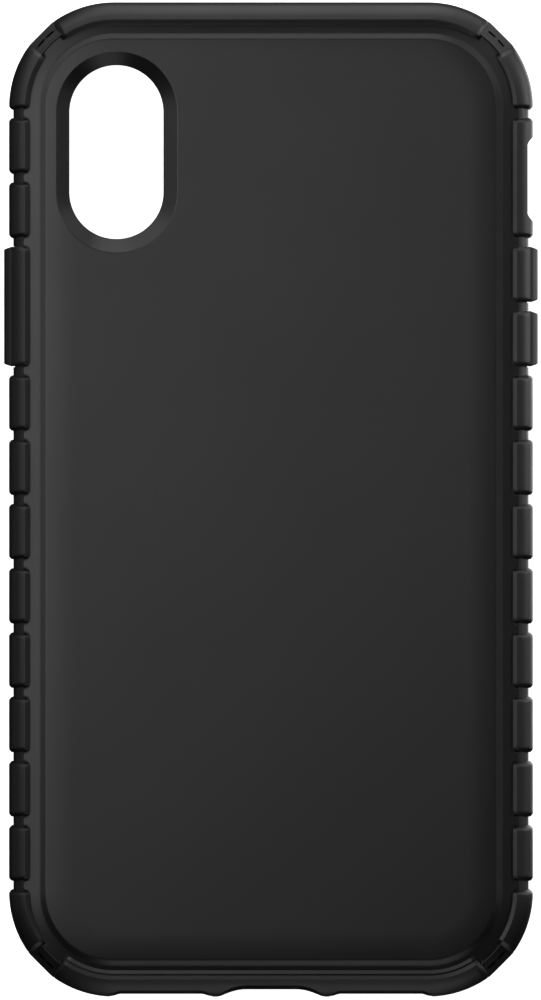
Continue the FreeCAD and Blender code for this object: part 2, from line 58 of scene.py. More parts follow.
# The rugged phone case's visible meshes, materials, light and camera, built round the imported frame.
#
# Sizes are millimetres until mesh_object turns them into metres. A section is a list of
# (depth, height) points: depth runs inwards from the outermost face of the grip blocks, and height
# is z. Places along the outline are given by the distance s, anticlockwise from the middle of the
# right side.

# ---- sizes from the frame --------------------------------------------------------------------
MM = 0.001
CASE_HEIGHT = cad_high.z / MM
HALF_LENGTH = cad_high.y / MM
HALF_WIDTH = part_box("right_grip_block_01")[1].x / MM
LIP_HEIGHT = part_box("front_lip")[1].z / MM
LINER_TOP_Z = 10.2
PHONE_THICKNESS = 8.3
PHONE_BACK_Z = LIP_HEIGHT + PHONE_THICKNESS
PHONE_MID_Z = LIP_HEIGHT + PHONE_THICKNESS / 2

# ---- outline ---------------------------------------------------------------------------------
CORNER_RADIUS = 16.8
CORNER_X = HALF_WIDTH - CORNER_RADIUS
CORNER_Y = HALF_LENGTH - CORNER_RADIUS
QUARTER_ARC = CORNER_RADIUS * math.pi / 2
PERIMETER = 4 * (CORNER_X + CORNER_Y + QUARTER_ARC)
ARC_STEP = math.radians(2.5)
MIN_STEP = 0.02                   # sections along the outline are at least this far apart
WELD = 1e-7                       # metres within which points are merged
PAST = 1                          # how far a cutter runs on past what it cuts
SHY = 0.02                        # how far a curved cutter stays short of its full depth
EDGE_ANGLE, SHELL_EDGE_ANGLE, LIP_EDGE_ANGLE = 28, 3.2, 50   # degrees beyond which an edge is sharp

# ---- side wall -------------------------------------------------------------------------------
RECESS = 0.7                      # how far the band's face lies in from the blocks' faces
SINK = 0.2                        # how far a block's hidden side reaches into the band
SHELL_DEPTH = 2.35
HIDDEN_DEPTH, BURIED_DEPTH = SHELL_DEPTH - 0.35, SHELL_DEPTH - 0.2   # a block's hidden inner end
BAND_SINK, BAND_STEP = 0.1, 0.02  # how far the band reaches into the shell, and past its skirt
LINER_DEPTH = 3.35
LINER_CLEAR = 0.01
POCKET_DEPTH = 4.0
POCKET_ROUND, LINER_ROUND = 0.5, 0.1
LIP_DEPTH, LIP_FRONT_ROUND, LIP_BACK_ROUND = 5.65, 0.4, 0.3
SKIRT_FRONT_Z = 2.1
FLAT_LOW_Z, FLAT_HIGH_Z = 4.0, 7.8
FRONT_ARC = 5.45
BACK_ARC = 4.16
CREST_DEPTH = 2.58
CREST_ROUND = 0.16
BEVEL_DEPTH = 3.2
BEVEL_DROP = 0.22
END_WIDEN = 0.25                  # extra depth of the top and bottom bumpers
BLOCK_FRONT_Z = 1.2
FRONT_BEVEL_DEPTH, FRONT_BEVEL_HEIGHT = 0.35, 0.3
BURIED_Z = 9.7
MOAT = 0.22                       # width of the seam round each block, in the shoulder
MOAT_FLOOR_Z = 10.22

# ---- grip blocks -----------------------------------------------------------------------------
PITCH = 10.28
GAP = 1.44
END_ZONE = 1.5                    # stretch at a block's end that has closer sections
END_OFFSETS = (0, 0.06, 0.14, 0.24, 0.34, 0.44, 0.54, 0.62, 0.7, 0.8, 0.92, 1.02, 1.12, 1.25, 1.45)
END_INSET = 0.4                   # how far a block's outer face is drawn in at its very end
KNEE = 0.1                        # rounding of the change from a block's face to its sloped end
END_SLOPE, CORNER_SLOPE = 0.65, 1.05   # length of the slope at a block's end, and at a corner gap
BLOCK_CORNER = 0.6                # rounding of a block's inner corners in plan
CORNER_GAP = math.radians(8.8)
CORNER_LEAN, LEAN_REACH = 0.16, 3.0   # lean of a block's end at a corner gap, and how far it goes
WEB_LOW_Z, WEB_DEPTH, WEB_TOP_Z = 8.3, 2.6, 11.18   # sloped web across a corner gap
WEB_LOW_ROUND, WEB_TOP_ROUND, WEB_DRAFT, WEB_FOOT_DEPTH = 0.5, 0.12, 0.15, 1.5
WEB_OVERLAP = 0.3                 # how far a web runs into the block on each side
FACET_CUT = 0.2
SLOT_DEPTH, SLOT_WIDTH = 1.3, 0.3
SLOT_NEAR, SLOT_FAR, SLOT_FLOOR_Z = 0.35, 1.85, 7.0

# ---- back panel ------------------------------------------------------------------------------
SHOULDER_DEPTH, SHOULDER_Z = 5.0, 11.3
SHOULDER_EDGE_Z = 10.68
CURL, CURL_START, CURL_END = 0.2, 4.3, 3.75   # upturned foot beside the bottom bumper
PANEL_DEPTH, PANEL_Z = 5.95, 11.79
PANEL_ROUND, SHOULDER_ROUND, SHELL_ROUND, SKIRT_ROUND = 0.7, 2.0, 0.05, 0.2
CROWN_DEPTH, CROWN_STEPS = 10.5, 8
CAMERA_X, CAMERA_Y = -24.69, 55.5
CAMERA_WIDTH, CAMERA_LENGTH = 15.0, 27.75
CAMERA_BEVEL, CAMERA_BEVEL_DROP = 2.25, 1.5
CAMERA_LOW_ROUND, CAMERA_TOP_ROUND = 0.25, 0.4
CAMERA_RUNOUT, CAMERA_RUNOUT_RISE = 2, 0.06   # shallow flare of the cutter above the bevel
CAMERA_CUT_LOW_Z = 8
LINER_WINDOW_CLEAR = 0.6          # how much wider the lining's window is
STADIUM_STEPS = 60

# ---- honeycomb relief inside the lining ------------------------------------------------------
CELL_ACROSS, CELL_WALL, CELL_DEEP = 4.2, 0.9, 0.3
CELL_OVERRUN = 0.5
PLAIN_EDGE, PLAIN_BY_CAMERA = 3.2, 3.4

# ---- openings and scoops ---------------------------------------------------------------------
MUTE_Y = 51.2
MUTE_FLOOR, MUTE_HALF, MUTE_FLARE = 0.92, 5.3, 1.5
MUTE_STEPS, MUTE_SWELL, MUTE_POWER = 8, 1.05, 1.6   # shape of the scoop's curved ends
MUTE_HOLE = (10.0, 5.2)
PORT_SCOOP, PORT_HALF, PORT_ARC = 1.25, 4.0, 6.7
PORT_OVERRUN = 1.3                # share of the port scoop's flank that the cutter follows
DISH_STEPS = 10
PORT_HOLE = (11.8, 6.4)
SPEAKER_X = 17.6
SPEAKER_SCOOP, SPEAKER_HALF, SPEAKER_RAMP = 0.49, 6.4, 1.8
SPEAKER_HOLE = (12.6, 4.8)
SCOOP_LEAN = 0.09                 # how far a scoop's wall leans in for each millimetre of height
HOLE_ROUND = 0.4                  # corner radius of a hole, as a share of its height
HOLE_DEPTH = 6.0

# ---- buttons ---------------------------------------------------------------------------------
# Each button's side (-1 left, 1 right), the number of the gap above it, and its length in pitches.
BUTTONS = {"power_button": (-1, 4, 2), "volume_up_button": (1, 4, 1), "volume_down_button": (1, 3, 1)}
BUTTON_PROUD, BUTTON_BACK, BUTTON_HOLLOW = 0.8, 0.42, 0.98
BUTTON_ARC, BUTTON_LOW_Z, BUTTON_HIGH_Z = 2.4, 4.2, 7.4
BUTTON_SLANT = 0.4
BUTTON_CLEAR = 0.12
CAP_SOFT = 0.2                    # rounding at a cap's ends
CAP_OFFSETS = (0, 0.05, 0.12, 0.2, 0.3, 0.45, 0.7)
RIDGE_DEPTH, RIDGE_FOOT_DEPTH = 0.42, BUTTON_HOLLOW + 0.8
RIDGE_INSET = 0.3                 # share of a block's end inset that a ridge has
NUB_SHARE, NUB_HALF_HEIGHT, NUB_TIP, NUB_ROOT = 0.42, 0.9, 3.5, 0.1
NUB_SLOT_DEPTH = 5

# ---- floor and camera ------------------------------------------------------------------------
FLOOR_HALF, FLOOR_Z = 1500, -0.05
CAMERA_Z = 3000.0
VIEW_HEIGHT = 160.0               # length that the frame's height takes in, at the widest level
VIEW_SHIFT = -0.08                # x and y of the camera, which centre the case as in the photo


# ---- outline and sweeps ----------------------------------------------------------------------
def outline_runs():
    """Straight and bent runs of the outline: length, centre, facing angle, whether it bends."""
    straight = [CORNER_Y, 2 * CORNER_X, 2 * CORNER_Y, 2 * CORNER_X, CORNER_Y]
    centres = [(CORNER_X, CORNER_Y), (-CORNER_X, CORNER_Y), (-CORNER_X, -CORNER_Y),
               (CORNER_X, -CORNER_Y)]
    runs = []
    start = Vector((CORNER_X, 0))
    for turn, length in enumerate(straight):
        facing = turn * math.pi / 2
        runs.append((length, start, facing, False))
        if turn < 4:
            start = Vector(centres[turn])
            runs.append((QUARTER_ARC, start, facing, True))
    return runs


RUNS = outline_runs()


def station(s):
    """Centre and facing angle of the outline at distance s."""
    s %= PERIMETER
    for length, centre, facing, bends in RUNS:
        if s <= length:
            if bends:
                return centre, facing + s / CORNER_RADIUS
            along = Vector((-math.sin(facing), math.cos(facing)))
            return centre + along * s, facing
        s -= length
    return station(0)


def place(s, depth, height):
    """Point at a distance along the outline, a depth and a height."""
    centre, facing = station(s)
    reach = CORNER_RADIUS - depth
    return (centre.x + reach * math.cos(facing), centre.y + reach * math.sin(facing), height)


def stops(start, end):
    """Distances from start to end: both ends, every change of run, and steps round the bends."""
    found = [start, end]
    begin = -PERIMETER
    while begin < end:
        for length, _, _, bends in RUNS:
            steps = round(math.pi / 2 / ARC_STEP) if bends else 1
            found += [begin + length * k / steps for k in range(steps)]
            begin += length
    inside = sorted(v for v in found if start <= v <= end)
    spaced = [inside[0]]
    for value in inside[1:]:
        if value - spaced[-1] > MIN_STEP:
            spaced.append(value)
    spaced[-1] = end
    return spaced


def mesh_object(name, vertices, faces):
    """Mesh piece from points in millimetres."""
    mesh = bpy.data.meshes.new(name)
    mesh.from_pydata([Vector(v) * MM for v in vertices], [], faces)
    builder = bmesh.new()
    builder.from_mesh(mesh)
    bmesh.ops.remove_doubles(builder, verts=builder.verts, dist=WELD)
    bmesh.ops.recalc_face_normals(builder, faces=builder.faces)
    builder.to_mesh(mesh)
    builder.free()
    piece = bpy.data.objects.new(name, mesh)
    bpy.context.scene.collection.objects.link(piece)
    return piece


def loft(name, loops, closed=False):
    """Solid through equal loops of points, capped at both ends unless it closes on itself."""
    size = len(loops[0])
    vertices = [point for loop in loops for point in loop]
    faces = []
    pairs = len(loops) if closed else len(loops) - 1
    for a in range(pairs):
        b = (a + 1) % len(loops)
        for k in range(size):
            j = (k + 1) % size
            faces.append((a * size + k, a * size + j, b * size + j, b * size + k))
    if not closed:
        faces.append(tuple(range(size)))
        faces.append(tuple(range((len(loops) - 1) * size, len(loops) * size)))
    return mesh_object(name, vertices, faces)


def sweep(name, rows, closed=False):
    """Solid through sections at distances along the outline: rows of (s, section).

    A third value in a row leans it along the outline, by so much for each millimetre of depth.
    """
    loops = []
    for s, section, *lean in rows:
        loops.append([place(s + sum(lean) * d, d, z) for d, z in section])
    return loft(name, loops, closed)


def ring(name, section):
    """Solid of one section swept all round."""
    return sweep(name, [(s, section) for s in stops(0, PERIMETER)[:-1]], closed=True)


def tray(name, section_at):
    """Solid with an open section, given for each distance, and a plate across at both its ends."""
    rows = [(s, section_at(s)) for s in stops(0, PERIMETER)[:-1]]
    loops = [[place(s, *section[k]) for s, section in rows] for k in range(len(rows[0][1]))]
    return loft(name, loops)


def arc_points(centre, radius, start, end, steps):
    """Arc in a section. Angle 0 faces outwards and a quarter turn faces the back."""
    angles = [start + (end - start) * k / steps for k in range(steps + 1)]
    return [(centre[0] - radius * math.cos(a), centre[1] + radius * math.sin(a)) for a in angles]


def outer_face(front_z, last_depth, recess=0.0):
    """Curved outer face from its front end over the flat to a depth on the back."""
    front, back = FRONT_ARC - recess, BACK_ARC - recess
    start = -math.asin((FLAT_LOW_Z - front_z) / front)
    end = math.acos((BACK_ARC - last_depth) / back)
    lower = arc_points((FRONT_ARC, FLAT_LOW_Z), front, start, 0, 7)
    return lower + arc_points((BACK_ARC, FLAT_HIGH_Z), back, 0, end, 14)


def rounded(corners, steps=5):
    """Path through (x, y, radius) corners, each turned into an arc except the first and last."""
    path = [corners[0][:2]]
    for before, corner, after in zip(corners, corners[1:], corners[2:]):
        here = Vector(corner[:2])
        into = (Vector(before[:2]) - here).normalized()
        out = (Vector(after[:2]) - here).normalized()
        if corner[2] == 0:
            path.append(tuple(here))
            continue
        half = into.angle(out) / 2
        reach = corner[2] / math.tan(half)
        centre = here + (into + out).normalized() * (corner[2] / math.sin(half))
        first = here + into * reach - centre
        last = here + out * reach - centre
        turn = first.angle_signed(last)
        for k in range(steps + 1):
            spoke = first.copy()
            spoke.rotate(Matrix.Rotation(-turn * k / steps, 2))
            path.append(tuple(centre + spoke))
    path.append(corners[-1][:2])
    return path


# ---- sections --------------------------------------------------------------------------------
def lowered(points, lower):
    """The points with the tallest brought down by lower and the rest in proportion."""
    share = 1 - lower / (max(z for _, z in points) - FLAT_HIGH_Z)
    return [(d, FLAT_HIGH_Z + (z - FLAT_HIGH_Z) * share if z > FLAT_HIGH_Z else z) for d, z in points]


def block_section(inset=0.0, tuck=0.0, lower=0.0):
    """Grip block. inset draws the outer face inwards, tuck draws the inner edge outwards, and
    lower brings the back down."""
    face = outer_face(BLOCK_FRONT_Z + FRONT_BEVEL_HEIGHT, CREST_DEPTH - tuck, inset)
    crest = face[-1]
    foot = (BEVEL_DEPTH - tuck, crest[1] - BEVEL_DROP)
    ridge = rounded([(*face[-3], 0), (*crest, CREST_ROUND), (*foot, 0)], 4)[1:-1]
    hidden = outer_face(BLOCK_FRONT_Z, HIDDEN_DEPTH, RECESS + SINK)[::-1]
    front = [(face[0][0] + FRONT_BEVEL_DEPTH, BLOCK_FRONT_Z)]
    back = lowered(face[:-2] + ridge + [foot], lower)
    return front + back + [(foot[0], BURIED_Z), (BURIED_DEPTH, BURIED_Z)] + hidden


def ridge_section(inset=0.0, tuck=0.0, lower=0.0):
    """Inner part of a block, beside a button cap."""
    inset *= RIDGE_INSET
    start = math.acos((BACK_ARC - RIDGE_DEPTH - inset / 2) / (BACK_ARC - inset))
    end = math.acos((BACK_ARC - CREST_DEPTH + tuck) / (BACK_ARC - inset))
    face = arc_points((BACK_ARC, FLAT_HIGH_Z), BACK_ARC - inset, start, end, 8)
    crest = face[-1]
    foot = (BEVEL_DEPTH - tuck, crest[1] - BEVEL_DROP)
    top = rounded([(*face[-2], 0), (*crest, CREST_ROUND), (*foot, 0)], 4)[1:-1]
    under = BUTTON_HIGH_Z + button_rise() + BUTTON_CLEAR
    back = lowered(face[:-1] + top + [foot], lower / 2)
    front = [(face[0][0], min(under, back[0][1]))]
    return front + back + [(foot[0], BURIED_Z), (RIDGE_FOOT_DEPTH, BURIED_Z)]


def band_section():
    """Band: outer face, back edge, and the step that the shell's skirt stands on."""
    face = outer_face(LIP_HEIGHT, SHELL_DEPTH, RECESS)
    back, step = SHELL_DEPTH + BAND_SINK, SKIRT_FRONT_Z - BAND_STEP
    inner = LINER_DEPTH + BAND_STEP
    return face + [(back, face[-1][1] - BAND_SINK), (back, step), (inner, step), (inner, LIP_HEIGHT)]


def web_section():
    """Web across a corner gap, sloped towards the back."""
    face = outer_face(BLOCK_FRONT_Z, 0)[:8]
    slope = rounded([(0, FLAT_LOW_Z, 0), (0, WEB_LOW_Z, WEB_LOW_ROUND),
                     (WEB_DEPTH, WEB_TOP_Z, WEB_TOP_ROUND), (WEB_DEPTH + WEB_DRAFT, BURIED_Z, 0)], 6)[1:]
    return face + slope + [(WEB_FOOT_DEPTH, BLOCK_FRONT_Z)]


def lip_section():
    """Raised lip round the screen."""
    front = FRONT_ARC - RECESS
    start = -math.asin(FLAT_LOW_Z / front)
    end = -math.asin((FLAT_LOW_Z - LIP_HEIGHT) / front)
    outside = arc_points((FRONT_ARC, FLAT_LOW_Z), front, start, end, 6)[::-1]
    turn = rounded([(*outside[-1], 0), (LIP_DEPTH, 0, LIP_FRONT_ROUND),
                    (LIP_DEPTH, LIP_HEIGHT, LIP_BACK_ROUND), (POCKET_DEPTH, LIP_HEIGHT, 0)], 6)
    return outside[:-1] + turn


def shoulder_z(depth):
    """Height of the sloped shoulder at a depth."""
    share = (depth - SHELL_DEPTH) / (SHOULDER_DEPTH - SHELL_DEPTH)
    return SHOULDER_EDGE_Z + (SHOULDER_Z - SHOULDER_EDGE_Z) * share


def shell_section(s):
    """Open section from the flat of the panel, over the shoulder and skirt, to the inner face."""
    curl = CURL * beside_bottom_bumper(s)
    crown = []
    for k in range(CROWN_STEPS + 1):
        share = k / CROWN_STEPS
        depth = CROWN_DEPTH + (PANEL_DEPTH - CROWN_DEPTH) * share
        crown.append((depth, CASE_HEIGHT - (CASE_HEIGHT - PANEL_Z) * share ** 2))
    edge = rounded([(*crown[-2], 0), (*crown[-1], PANEL_ROUND),
                    (SHOULDER_DEPTH, SHOULDER_Z, SHOULDER_ROUND),
                    (CURL_START, shoulder_z(CURL_START), 0), (CURL_END, shoulder_z(CURL_END) + curl, 0),
                    (SHELL_DEPTH, SHOULDER_EDGE_Z + curl, SHELL_ROUND),
                    (SHELL_DEPTH, SKIRT_FRONT_Z, SKIRT_ROUND), (LINER_DEPTH, SKIRT_FRONT_Z, SKIRT_ROUND),
                    (LINER_DEPTH, LINER_TOP_Z, 0)], 8)
    return crown[:-2] + edge + [(CROWN_DEPTH, LINER_TOP_Z)]


def liner_section(_):
    """Open section from the back face down the outside wall and back up the inside."""
    top, outer = LINER_TOP_Z - LINER_CLEAR, LINER_DEPTH + LINER_CLEAR
    return rounded([(CROWN_DEPTH, top, 0), (outer, top, POCKET_ROUND), (outer, LIP_HEIGHT, LINER_ROUND),
                    (POCKET_DEPTH, LIP_HEIGHT, LINER_ROUND), (POCKET_DEPTH, PHONE_BACK_Z, POCKET_ROUND),
                    (CROWN_DEPTH, PHONE_BACK_Z, 0)], 5)


def smooth(share):
    """0 to 1 with a soft start and end."""
    return share * share * (3 - 2 * share)


# ---- cutters ---------------------------------------------------------------------------------
def prism(name, outline, low_z, high_z, lean=0, level_z=0):
    """Upright prism over a plan outline of (x, y) points. lean tilts it towards +Y about level_z."""
    return loft(name, [[(x, y + lean * (z - level_z), z) for x, y in outline] for z in (low_z, high_z)])


def box_outline(x_low, x_high, y_low, y_high):
    return [(x_low, y_low), (x_high, y_low), (x_high, y_high), (x_low, y_high)]


def wall_hole(span, height, spot, facing):
    """Cutter for a rounded hole at a spot along a wall that faces "right" or "bottom"."""
    half, tall = span / 2, height / 2
    radius = height * HOLE_ROUND
    corners = [(0, -tall, 0), (half, -tall, radius), (half, tall, radius), (-half, tall, radius),
               (-half, -tall, radius), (0, -tall, 0)]
    loop = rounded(corners, 6)[:-1]
    ends = []
    for depth in (-PAST, HOLE_DEPTH):
        if facing == "right":
            ends.append([(HALF_WIDTH - depth, spot + a, PHONE_MID_Z + b) for a, b in loop])
        else:
            ends.append([(spot + a, -HALF_LENGTH + depth, PHONE_MID_Z + b) for a, b in loop])
    return loft("wall_hole", ends)


def port_dish():
    """Scoop at the charging port: its flanks curve out and meet the bumper's face at an edge."""
    flank = math.sqrt(2 * PORT_ARC * PORT_SCOOP)
    runs = [flank * PORT_OVERRUN * k / DISH_STEPS for k in range(DISH_STEPS + 1)]
    return dish(0, [(PORT_HALF + run, PORT_SCOOP - run ** 2 / (2 * PORT_ARC)) for run in runs])


def speaker_dish(spot):
    """Shallower scoop at a speaker, with soft ramps."""
    ramp = []
    for k in range(DISH_STEPS + 1):
        share = k / DISH_STEPS
        ramp.append((SPEAKER_HALF + SPEAKER_RAMP * share, SPEAKER_SCOOP * (1 - smooth(share)) - SHY))
    return dish(spot, ramp)


def dish(spot, flank):
    """Scoop in the bottom end from its flank: (distance from the middle, depth) points."""
    face = -HALF_LENGTH
    points = [(spot + a, face + b) for a, b in flank]
    points += [(spot + flank[-1][0], face - 2 * PAST), (spot - flank[-1][0], face - 2 * PAST)]
    points += [(spot - a, face + b) for a, b in flank[::-1]]
    return prism("dish", points, -PAST, CASE_HEIGHT + PAST, SCOOP_LEAN, FLAT_LOW_Z)


def mute_scoop():
    """Upright cut along the outer face, with ends that curve out."""
    rows = []
    for k in range(-MUTE_STEPS - 1, MUTE_STEPS + 2):
        share = max(abs(k) - 1, 0) / MUTE_STEPS
        floor = MUTE_FLOOR
        if share:
            floor *= MUTE_SWELL - MUTE_SWELL * share ** MUTE_POWER
        spot = MUTE_Y + math.copysign(MUTE_HALF + MUTE_FLARE * share, k) * (k != 0)
        rows.append((spot, [(-PAST, 0), (floor - SHY, 0), (floor - SHY, CASE_HEIGHT),
                            (-PAST, CASE_HEIGHT)]))
    return sweep("mute_scoop", rows)


def button_span(button):
    """Middle of a cap, as y, and its length."""
    _, top_gap, pitches = BUTTONS[button]
    centre = (top_gap - pitches / 2) * PITCH
    return centre, pitches * PITCH - GAP


def button_rise():
    """How far a cap's curved edge goes beyond its flat, in height."""
    return math.sqrt(BUTTON_ARC ** 2 - (BUTTON_ARC - BUTTON_PROUD - BUTTON_BACK) ** 2)


def button_cutters(button, hollow=True):
    """Cutters that make room for a nub in the wall, and for its cap where hollow is true."""
    side = BUTTONS[button][0]
    centre, length = button_span(button)
    half = length / 2 + BUTTON_CLEAR
    nub = length * NUB_SHARE / 2 + 2 * BUTTON_CLEAR
    tall = NUB_HALF_HEIGHT + 2 * BUTTON_CLEAR
    outside, inside = side * (HALF_WIDTH + PAST), side * (HALF_WIDTH - NUB_SLOT_DEPTH)
    cutters = [prism("nub_slot", box_outline(inside, outside, centre - nub, centre + nub),
                     PHONE_MID_Z - tall, PHONE_MID_Z + tall)]
    if hollow:
        floor = side * (HALF_WIDTH - BUTTON_HOLLOW)
        cutters.append(prism("hollow", box_outline(floor, outside, centre - half, centre + half),
                             BUTTON_LOW_Z - button_rise() - BUTTON_CLEAR,
                             BUTTON_HIGH_Z + button_rise() + BUTTON_CLEAR))
    return cutters


def stadium(width, length):
    """Plan outline round the camera window's middle."""
    radius = width / 2
    straight = length / 2 - radius
    points = []
    for end, first in ((1, 0), (-1, math.pi)):
        for k in range(STADIUM_STEPS + 1):
            turn = first + math.pi * k / STADIUM_STEPS
            points.append((CAMERA_X + radius * math.cos(turn),
                           CAMERA_Y + end * straight + radius * math.sin(turn)))
    return points


def camera_cutter():
    """Cutter for the camera window and the bevel round it."""
    low = CASE_HEIGHT - CAMERA_BEVEL_DROP
    widest = CAMERA_BEVEL + CAMERA_RUNOUT
    path = rounded([(0, CAMERA_CUT_LOW_Z, 0), (0, low, CAMERA_LOW_ROUND),
                    (CAMERA_BEVEL, CASE_HEIGHT, CAMERA_TOP_ROUND),
                    (widest, CASE_HEIGHT + CAMERA_RUNOUT_RISE, 0)], 6)
    path.append((widest, CASE_HEIGHT + PAST))
    loops = [[(x, y, z) for x, y in stadium(CAMERA_WIDTH + 2 * grow, CAMERA_LENGTH + 2 * grow)]
             for grow, z in path]
    return loft("camera_cutter", loops)


def corner_slots():
    """Cutters for the two slots in each corner gap."""
    cutters = []
    low, high = SLOT_DEPTH - SLOT_WIDTH / 2, SLOT_DEPTH + SLOT_WIDTH / 2
    section = [(low, SLOT_FLOOR_Z), (high, SLOT_FLOOR_Z), (high, CASE_HEIGHT), (low, CASE_HEIGHT)]
    for corner in range(4):
        middle = corner_middle(corner)
        for near, far in ((SLOT_NEAR, SLOT_FAR), (-SLOT_FAR, -SLOT_NEAR)):
            cutters.append(sweep("slot", [(middle + near, section), (middle + far, section)]))
    return cutters


def honeycomb():
    """Cutters for small hexagonal pockets in the liner's inner face."""
    step = CELL_ACROSS + CELL_WALL
    row_step = step * math.sqrt(3) / 2
    radius = CELL_ACROSS / math.sqrt(3)
    edge = POCKET_DEPTH + PLAIN_EDGE + CELL_ACROSS / 2
    reach_x, reach_y = HALF_WIDTH - edge, HALF_LENGTH - edge
    corner = CORNER_RADIUS - edge
    clear_x, clear_y = CAMERA_WIDTH / 2 + PLAIN_BY_CAMERA, CAMERA_LENGTH / 2 + PLAIN_BY_CAMERA
    cells = []
    rows, columns = int(reach_y / row_step), int(reach_x / step) + 1
    for row in range(-rows, rows + 1):
        for column in range(-columns, columns + 1):
            x = (column + (0.5 if row % 2 else 0)) * step
            y = row * row_step
            over_x, over_y = abs(x) - (reach_x - corner), abs(y) - (reach_y - corner)
            past_corner = min(over_x, over_y) > 0 and math.hypot(over_x, over_y) > corner
            outside = abs(x) > reach_x or past_corner
            by_camera = abs(x - CAMERA_X) < clear_x and abs(y - CAMERA_Y) < clear_y
            if outside or by_camera:
                continue
            turns = [math.radians(60 * k + 30) for k in range(6)]
            outline = [(x + radius * math.cos(t), y + radius * math.sin(t)) for t in turns]
            cells.append(prism("cell", outline, PHONE_BACK_Z - CELL_OVERRUN, PHONE_BACK_Z + CELL_DEEP))
    return cells


def joined(pieces):
    """One object from several. The first keeps its name."""
    builder = bmesh.new()
    for piece in pieces:
        builder.from_mesh(piece.data)
    builder.to_mesh(pieces[0].data)
    builder.free()
    for piece in pieces[1:]:
        bpy.data.objects.remove(piece)
    return pieces[0]


def cut(piece, cutters):
    """Takes the cutters away from the piece, and removes them."""
    tool = joined(cutters)
    modifier = piece.modifiers.new("cut", "BOOLEAN")
    modifier.operation = "DIFFERENCE"
    modifier.solver = "EXACT"
    modifier.object = tool
    apply_modifiers(piece)
    bpy.data.objects.remove(tool)


def apply_modifiers(piece):
    bpy.context.view_layer.update()
    graph = bpy.context.evaluated_depsgraph_get()
    result = bpy.data.meshes.new_from_object(piece.evaluated_get(graph))
    piece.modifiers.clear()
    piece.data = result


def finish_piece(piece, body, slot, nodes=(), sharp=EDGE_ANGLE):
    """Smooth shading up to an edge angle, the piece's body, its slot and the nodes it stands for."""
    for polygon in piece.data.polygons:
        polygon.use_smooth = True
    piece.data.set_sharp_from_angle(angle=math.radians(sharp))
    piece.modifiers.new("even_normals", "WEIGHTED_NORMAL").keep_sharp = True
    apply_modifiers(piece)
    piece.data.materials.clear()
    piece.data.materials.append(MATERIALS[slot])
    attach(piece, body)
    if nodes:
        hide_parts(*nodes)
    return piece


# ---- pieces ----------------------------------------------------------------------------------
def corner_middle(corner):
    """Distance along the outline of a corner's middle: 0 top right, then anticlockwise."""
    distance = CORNER_Y + QUARTER_ARC / 2
    for k in range(corner):
        distance += QUARTER_ARC + (2 * CORNER_X if k % 2 == 0 else 2 * CORNER_Y)
    return distance


def beside_bottom_bumper(s):
    """1 beside the bottom bumper and 0 elsewhere, with a soft change over a millimetre."""
    half_gap = CORNER_GAP * CORNER_RADIUS
    inside = min(s - corner_middle(2) - half_gap, corner_middle(3) - half_gap - s)
    return smooth(min(max(inside, 0), 1))


def soft_step(over):
    """over where it is positive and 0 where it is negative, with a rounded knee."""
    return (over + math.hypot(over, KNEE)) / 2


def end_rows(start, end, section, slopes, widen=0.0):
    """Rows of a block from start to end with sloped ends and rounded inner corners.

    widen moves the whole inner edge inwards.
    """
    marks = {start + t for t in END_OFFSETS} | {end - t for t in END_OFFSETS}
    marks |= {s for s in stops(start, end) if s - start > END_ZONE and end - s > END_ZONE}
    rows = []
    for s in sorted(marks):
        near = min(s - start, end - s)
        slope = slopes[0] if s - start < end - s else slopes[1]
        short = max(BLOCK_CORNER - near, 0)
        tuck = BLOCK_CORNER - math.sqrt(BLOCK_CORNER ** 2 - short ** 2)
        lean = CORNER_LEAN * max(1 - near / LEAN_REACH, 0) if slope == CORNER_SLOPE else 0
        if s - start < end - s:
            lean = -lean
        inset, lower = soft_step(END_INSET - near), soft_step(slope - near)
        rows.append((s, section(inset, tuck - widen, lower), lean))
    return rows


def widening(node):
    """How far a block's inner edge lies further in than the others'."""
    return END_WIDEN if node in ("top_bumper", "bottom_bumper") else 0.0


def block_spans():
    """Start, end and end slopes of every block. Distances run anticlockwise."""
    spans = {}
    half_turn = PERIMETER / 2
    plain = (END_SLOPE, END_SLOPE)
    below_buttons = list(range(1, -7, -1))
    for number, low in enumerate(below_buttons, start=1):
        span = (low * PITCH + GAP / 2, (low + 1) * PITCH - GAP / 2, plain)
        spans[f"right_grip_block_{number:02d}"] = span
    for number, low in enumerate([5, 4] + below_buttons, start=1):
        start = half_turn - (low + 1) * PITCH + GAP / 2
        spans[f"left_grip_block_{number:02d}"] = (start, start + PITCH - GAP, plain)
    spans["mute_switch_surround"] = (4 * PITCH + GAP / 2, 6 * PITCH - GAP / 2, plain)
    last = 6 * PITCH + GAP / 2
    half_gap = CORNER_GAP * CORNER_RADIUS
    first_mixed, last_mixed = (END_SLOPE, CORNER_SLOPE), (CORNER_SLOPE, END_SLOPE)
    middles = [corner_middle(k) for k in range(4)]
    spans["top_right_corner_block"] = (last, middles[0] - half_gap, first_mixed)
    spans["top_left_corner_block"] = (middles[1] + half_gap, half_turn - last, last_mixed)
    spans["bottom_left_corner_block"] = (half_turn + last, middles[2] - half_gap, first_mixed)
    spans["bottom_right_corner_block"] = (middles[3] + half_gap, PERIMETER - last, last_mixed)
    both = (CORNER_SLOPE, CORNER_SLOPE)
    spans["top_bumper"] = (middles[0] + half_gap, middles[1] - half_gap, both)
    spans["bottom_bumper"] = (middles[2] + half_gap, middles[3] - half_gap, both)
    return spans


def ridge_spans():
    """The same for the ridges beside the button caps."""
    spans = {}
    for button, (side, _, _) in BUTTONS.items():
        centre, length = button_span(button)
        middle = centre if side > 0 else PERIMETER / 2 - centre
        spans[button + "_ridge"] = (middle - length / 2, middle + length / 2, (END_SLOPE, END_SLOPE))
    return spans


